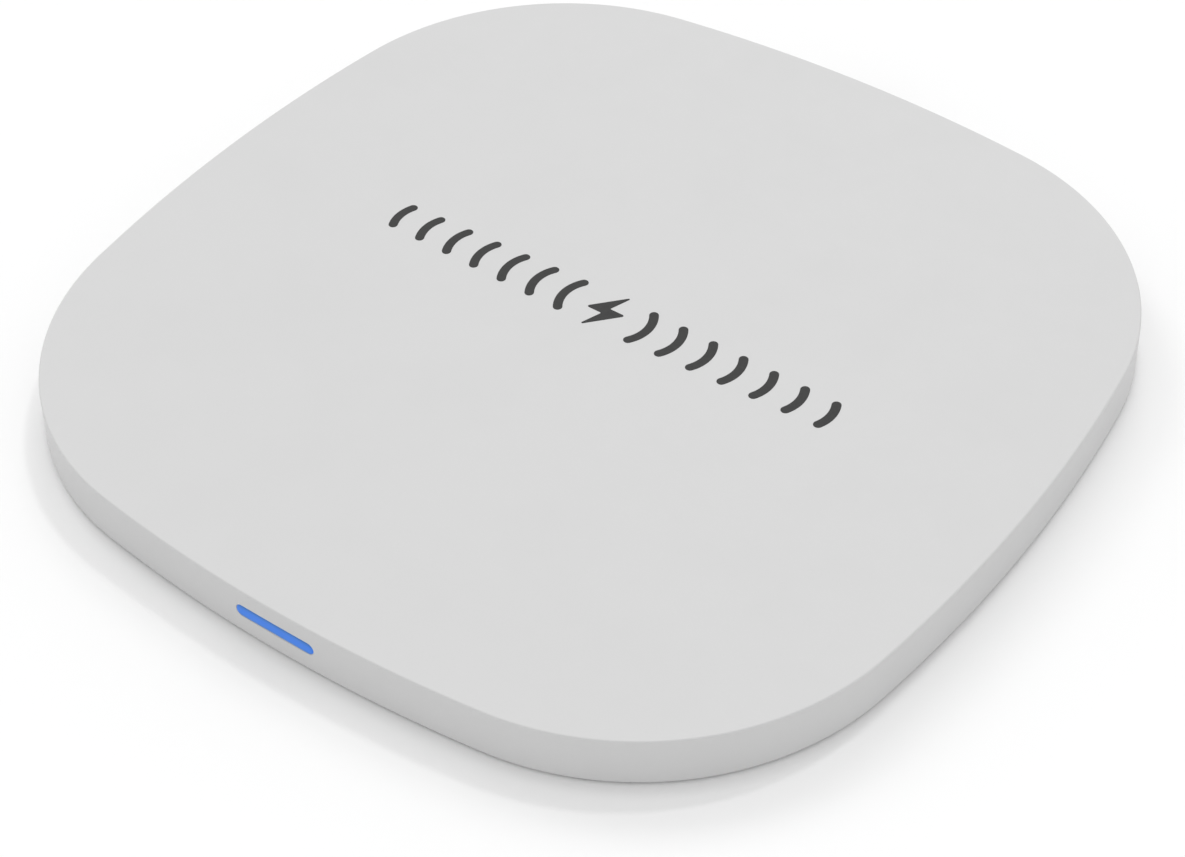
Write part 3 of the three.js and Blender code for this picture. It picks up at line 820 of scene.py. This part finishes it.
def screw(node, head_radius, shank_radius):
    """A pan-head screw, head down, with a cross recess and a thread of plain rings."""
    low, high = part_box(node)
    place = centre_of(node)
    seat = low.z + HEAD_HEIGHT
    root = shank_radius * THREAD_ROOT
    corners = [
        (0.02 * MM, low.z, 0),
        (head_radius - 0.18 * MM, low.z, 0.15 * MM),
        (head_radius, seat - 0.12 * MM, 0.08 * MM),
        (head_radius, seat, 0.04 * MM),
        (root, seat, 0),
    ]
    turns = int((high.z - seat - 0.4 * MM) / THREAD_PITCH)
    for turn in range(turns):
        z = seat + 0.25 * MM + THREAD_PITCH * turn
        corners += [
            (root, z, 0),
            (shank_radius, z + 0.12 * MM, 0),
            (shank_radius, z + 0.18 * MM, 0),
            (root, z + 0.3 * MM, 0),
        ]
    corners += [(shank_radius * POINT_RADIUS, high.z, 0), (0.02 * MM, high.z, 0)]
    body = turned([(point.x, point.y) for point in rounded(corners, 4)], place, 40)
    long, short, deep = head_radius * CROSS_LENGTH, head_radius * CROSS_WIDTH, HEAD_HEIGHT * 1.2
    for size in ((long, short, deep), (short, long, deep)):
        recess = slab(size, Vector((place.x, place.y, low.z)), 0.03 * MM)
        body = boolean(body, [recess], "DIFFERENCE")
    smooth(new_piece(node + "_turned", body, STEEL, [node]), 40)


CAD_FINISHES = {
    "coil_tape": TAPE,
    "ferrite_tape": TAPE,
    "coil_lead": COPPER,
    "ferrite_sheet": FERRITE,
    "foam_pad": FOAM,
    "thermistor_wire": SLEEVE,
    "thermistor": GLASS_BEAD,
    "circuit_board": LAMINATE,
    "power_input_ic": CHIP,
    "controller_ic": CHIP,
    "bridge_transistor": CHIP,
    "crystal": CRYSTAL,
    "filter_inductor": FERRITE,
    "sense_resistor": RESISTOR,
    "led_resistor": RESISTOR,
    "input_capacitor": CERAMIC,
    "resonant_capacitor": CERAMIC,
    "status_led": LED_RESIN,
}


def finish_cad_nodes():
    """Gives each CAD node that still shows the finish of the longest name that it starts with."""
    for name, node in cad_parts.items():
        matches = [start for start in CAD_FINISHES if name.startswith(start)]
        if node.hide_render or not matches:
            continue
        node.data.materials.clear()
        node.data.materials.append(CAD_FINISHES[max(matches, key=len)])


# ---------------------------------------------------------------- stage, light and camera

FLOOR_HALF = 1.5
CAMERA_AZIMUTH = math.radians(36.9)
CAMERA_ELEVATION = math.radians(43.77)
CAMERA_ROLL = math.radians(-1.13)
CAMERA_DISTANCE = 244.56 * MM
CAMERA_LENS = 76.06
CAMERA_SENSOR = 36.0
CAMERA_TARGET = Vector((9.78 * MM, -13.88 * MM, TOP))

# The sky is as bright as the lit floor at the horizon, so no line shows between them. It fades
# to its overhead brightness between two heights, which are sines of the elevation.
SKY_AT_HORIZON = 1.0
SKY_OVERHEAD = 0.8
SKY_FADE = (0.15, 0.5)
FLOOR_GREY = 0.9
FLOOR_CLOUD = 1.005  # how much lighter the floor's light patches are
# Each soft lamp: its name, azimuth from +X towards +Y, elevation, strength and angular size.
LAMPS = (
    ("lamp_above", 131, 76, 0.24, 12),
    ("lamp_back", 96, 56, 0.325, 5),
    ("lamp_side", 120, 40, 0.34, 20),
    ("lamp_low", 160, 38, 0.355, 20),
)


def floor():
    """The plain pale floor that the pad stands on."""
    corners = [(x * FLOOR_HALF, y * FLOOR_HALF, 0) for x, y in ((-1, -1), (1, -1), (1, 1), (-1, 1))]
    mesh = mesh_from(corners, [(0, 1, 2, 3)])
    plane = bpy.data.objects.new("floor", mesh)
    bpy.context.scene.collection.objects.link(plane)
    nodes = Nodes("floor_white")
    tone = nodes.spread(nodes.noise(60 * MM, 2.0), 0.0, 1.0)
    plane.data.materials.append(nodes.finish(
        Base_Color=nodes.blend(tone, colour(*[FLOOR_GREY] * 3), colour(*[FLOOR_GREY * FLOOR_CLOUD] * 3)),
        Roughness=0.9,
        Specular_IOR_Level=0.1,
    ))


def lamp(name, azimuth, elevation, strength, size):
    """A distant soft lamp that shines on the pad from that azimuth and elevation, in degrees."""
    light = bpy.data.lights.new(name, "SUN")
    light.energy = strength
    light.angle = math.radians(size)
    around, height = math.radians(azimuth), math.radians(elevation)
    towards = Vector((
        math.cos(around) * math.cos(height),
        math.sin(around) * math.cos(height),
        math.sin(height),
    ))
    holder = bpy.data.objects.new(name, light)
    holder.rotation_euler = towards.to_track_quat("Z", "Y").to_euler()
    holder.location = towards
    bpy.context.scene.collection.objects.link(holder)


def sky():
    """A studio dome, brighter near the horizon than overhead."""
    world = bpy.data.worlds.new("studio")
    world.use_nodes = True
    tree = world.node_tree
    direction = tree.nodes.new("ShaderNodeTexCoord")
    split = tree.nodes.new("ShaderNodeSeparateXYZ")
    fade = tree.nodes.new("ShaderNodeMapRange")
    fade.inputs["From Min"].default_value = SKY_FADE[0]
    fade.inputs["From Max"].default_value = SKY_FADE[1]
    fade.inputs["To Min"].default_value = SKY_AT_HORIZON
    fade.inputs["To Max"].default_value = SKY_OVERHEAD
    background = tree.nodes["Background"]
    background.inputs["Color"].default_value = colour(1.0, 1.0, 1.0)
    tree.links.new(direction.outputs["Generated"], split.inputs["Vector"])
    tree.links.new(split.outputs["Z"], fade.inputs["Value"])
    tree.links.new(fade.outputs["Result"], background.inputs["Strength"])
    bpy.context.scene.world = world


def lights():
    """The soft lamps behind the pad, which lay its shadow towards the camera."""
    for name, azimuth, elevation, strength, size in LAMPS:
        lamp(name, azimuth, elevation, strength, size)


def camera():
    """The camera at the photo's viewing angle. Its azimuth is measured from -Y towards +X."""
    back = Vector((
        math.sin(CAMERA_AZIMUTH) * math.cos(CAMERA_ELEVATION),
        -math.cos(CAMERA_AZIMUTH) * math.cos(CAMERA_ELEVATION),
        math.sin(CAMERA_ELEVATION),
    ))
    right = Vector((math.cos(CAMERA_AZIMUTH), math.sin(CAMERA_AZIMUTH), 0.0))
    up = back.cross(right)
    turned_right = right * math.cos(CAMERA_ROLL) + up * math.sin(CAMERA_ROLL)
    turned_up = back.cross(turned_right)
    data = bpy.data.cameras.new("camera")
    data.lens = CAMERA_LENS
    data.sensor_width = CAMERA_SENSOR
    data.clip_start = 0.01
    view = bpy.data.objects.new("camera", data)
    view.matrix_world = Matrix.Translation(CAMERA_TARGET + back * CAMERA_DISTANCE) @ Matrix(
        (turned_right, turned_up, back)
    ).transposed().to_4x4()
    bpy.context.scene.collection.objects.link(view)
    bpy.context.scene.camera = view


# ---------------------------------------------------------------- scene

camera()
sky()
lights()
floor()
top_shell()
bottom_cover()
light_bar()
for node_name, node_place in zip(FOOT_NODES, FOOT_PLACES):
    foot(node_name, node_place)
usb_shell()
usb_tongue()
printed_sign()
coil_winding()
for label in ("front_left", "front_right", "back_left", "back_right"):
    screw("case_screw_" + label, 1.75 * MM, 0.8 * MM)
for number in (1, 2, 3, 4):
    screw(f"board_screw_{number}", 1.5 * MM, 0.7 * MM)
finish_cad_nodes()

bpy.context.scene.view_settings.view_transform = "Standard"
